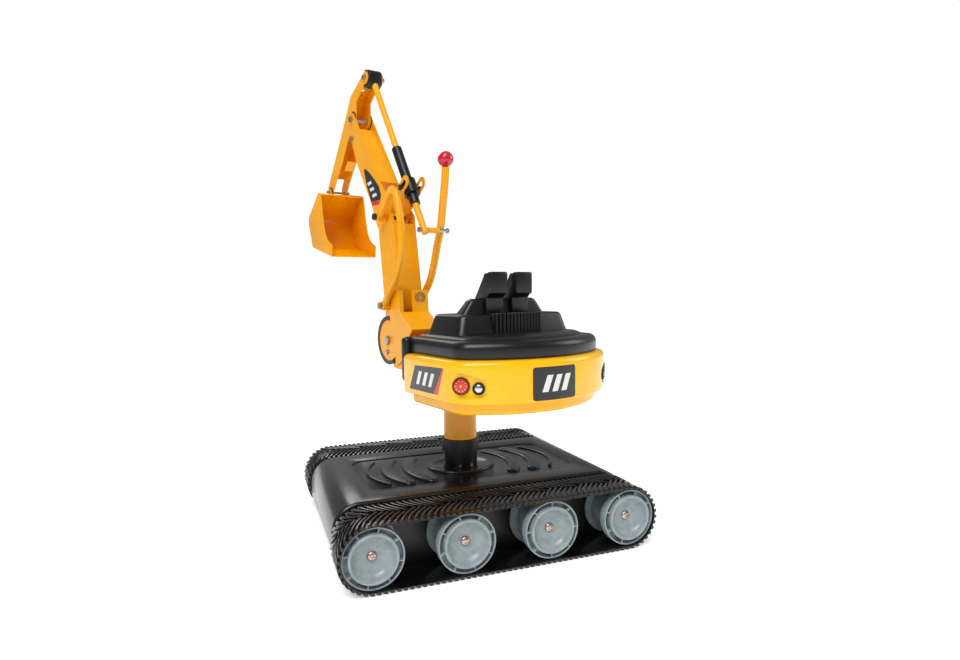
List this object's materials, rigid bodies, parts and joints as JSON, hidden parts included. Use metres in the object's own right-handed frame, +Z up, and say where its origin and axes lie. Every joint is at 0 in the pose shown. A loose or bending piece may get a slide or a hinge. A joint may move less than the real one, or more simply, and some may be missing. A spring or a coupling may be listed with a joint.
{
  "type": "toy excavator",
  "caption": "Ride-on toy excavator with a tracked roller base, a slewing black and yellow seat body, and a raised lever-worked arm with a bucket.",
  "frame": {"origin": "on the floor under the middle of the toy's bounding box", "axes": "+X to the driver's right, +Y forwards from the seat towards the arm and bucket, +Z up. The tracked base is turned 13.4 degrees about +Z under the seat."},
  "size_m": [0.5618, 0.8302, 0.832],
  "materials": {
    "painted_yellow": "gloss powder coat",
    "shell_yellow": "glossy moulding",
    "seat_black": "satin moulding",
    "cover_black": "polished moulding",
    "black_plastic": "satin",
    "white_plastic": "natural nylon",
    "track_rubber": "moulded rubber",
    "roller_grey": "satin moulding",
    "zinc": "zinc plated",
    "black_steel": "black zinc",
    "knob_red": "polished ball",
    "lamp_red": "reflector",
    "lamp_silver": "bright dome"
  },
  "bodies": {
    "base": {"near_track": "track_rubber", "far_track": "track_rubber", "chassis_frame": "black_plastic", "chassis_cover": "cover_black", "axle_bolts": "zinc", "pillar": "black_plastic", "pillar_screws": "zinc", "thrust_collar": "black_plastic", "slew_core": "zinc", "slew_bolt": "zinc"},
    "seat": {"column_tube": "painted_yellow", "column_bushes": "white_plastic", "seat_frame": "painted_yellow", "lower_shell": "shell_yellow", "seat_shell": "seat_black", "seat_screws": "zinc", "tail_lamps": "lamp_red", "work_lamps": "lamp_silver", "tilt_bolt": "zinc"},
    "boom": {"foot_bracket": "painted_yellow", "finger_guards": "black_plastic", "lower_boom": "painted_yellow", "upper_boom": "painted_yellow", "grab_handle": "painted_yellow", "axle_bolt": "zinc", "elbow_bolt": "black_steel", "rod_bracket": "painted_yellow", "stop_bolt": "zinc", "stick_bolt": "zinc", "stick_liners": "black_plastic"},
    "lever": {"lever_tube": "painted_yellow", "lever_knob": "knob_red", "cross_bolt": "zinc", "cross_spacer": "painted_yellow"},
    "push_rod": {"push_rod": "painted_yellow"},
    "guide_sleeve": {"guide_sleeve": "black_plastic", "sleeve_pins": "black_steel"},
    "stick": {"stick": "painted_yellow", "stick_head": "black_plastic", "head_bolt": "zinc"},
    "bucket": {"bucket": "painted_yellow", "bucket_pin": "zinc", "bucket_liners": "black_plastic"},
    "roller_near_1": {"roller_near_1": "roller_grey"},
    "roller_near_2": {"roller_near_2": "roller_grey"},
    "roller_near_3": {"roller_near_3": "roller_grey"},
    "roller_near_4": {"roller_near_4": "roller_grey"},
    "roller_far_1": {"roller_far_1": "roller_grey"},
    "roller_far_2": {"roller_far_2": "roller_grey"},
    "roller_far_3": {"roller_far_3": "roller_grey"},
    "roller_far_4": {"roller_far_4": "roller_grey"}
  },
  "joints": [
    {"name": "slew", "type": "hinge", "parent": "base", "child": "seat", "pos_m": [0, -0.1509, 0.141], "axis": [0, 0, 1], "continuous": true},
    {"name": "boom_tilt", "type": "hinge", "parent": "seat", "child": "boom", "pos_m": [0, 0.0521, 0.292], "axis": [1, 0, 0], "range_deg": [-20, 10]},
    {"name": "lever_swing", "type": "hinge", "parent": "boom", "child": "lever", "pos_m": [0, 0.0491, 0.358], "axis": [1, 0, 0], "range_deg": [-10, 20]},
    {"name": "rod_turn", "type": "hinge", "parent": "lever", "child": "push_rod", "pos_m": [0, -0.0399, 0.494], "axis": [1, 0, 0], "range_deg": [-22.2, 11.2]},
    {"name": "sleeve_slide", "type": "slide", "parent": "push_rod", "child": "guide_sleeve", "axis": [0, 0.5343, 0.8453], "range_m": [-0.0265, 0.053]},
    {"name": "stick_swing", "type": "hinge", "parent": "boom", "child": "stick", "pos_m": [0, 0.2241, 0.743], "axis": [1, 0, 0], "range_deg": [-17, 33.6]},
    {"name": "bucket_swing", "type": "hinge", "parent": "stick", "child": "bucket", "pos_m": [0, 0.3601, 0.609], "axis": [1, 0, 0], "range_deg": [-20, 60]},
    {"name": "roller_near_1_spin", "type": "hinge", "parent": "base", "child": "roller_near_1", "pos_m": [-0.22749, -0.2838, 0.0475], "axis": [0.2317, 0.9728, 0], "continuous": true},
    {"name": "roller_near_2_spin", "type": "hinge", "parent": "base", "child": "roller_near_2", "pos_m": [-0.10395, -0.31323, 0.0475], "axis": [0.2317, 0.9728, 0], "continuous": true},
    {"name": "roller_near_3_spin", "type": "hinge", "parent": "base", "child": "roller_near_3", "pos_m": [0.01959, -0.34266, 0.0475], "axis": [0.2317, 0.9728, 0], "continuous": true},
    {"name": "roller_near_4_spin", "type": "hinge", "parent": "base", "child": "roller_near_4", "pos_m": [0.14314, -0.37209, 0.0475], "axis": [0.2317, 0.9728, 0], "continuous": true},
    {"name": "roller_far_1_spin", "type": "hinge", "parent": "base", "child": "roller_far_1", "pos_m": [-0.14314, 0.07029, 0.0475], "axis": [0.2317, 0.9728, 0], "continuous": true},
    {"name": "roller_far_2_spin", "type": "hinge", "parent": "base", "child": "roller_far_2", "pos_m": [-0.01959, 0.04086, 0.0475], "axis": [0.2317, 0.9728, 0], "continuous": true},
    {"name": "roller_far_3_spin", "type": "hinge", "parent": "base", "child": "roller_far_3", "pos_m": [0.10395, 0.01143, 0.0475], "axis": [0.2317, 0.9728, 0], "continuous": true},
    {"name": "roller_far_4_spin", "type": "hinge", "parent": "base", "child": "roller_far_4", "pos_m": [0.22749, -0.018, 0.0475], "axis": [0.2317, 0.9728, 0], "continuous": true}
  ],
  "couplings": [
    {"joint": "stick_swing", "follows": "lever_swing", "ratio": 1.6636},
    {"joint": "rod_turn", "follows": "lever_swing", "ratio": -1.0898},
    {"joint": "sleeve_slide", "follows": "lever_swing", "m_per_rad": 0.15}
  ]
}
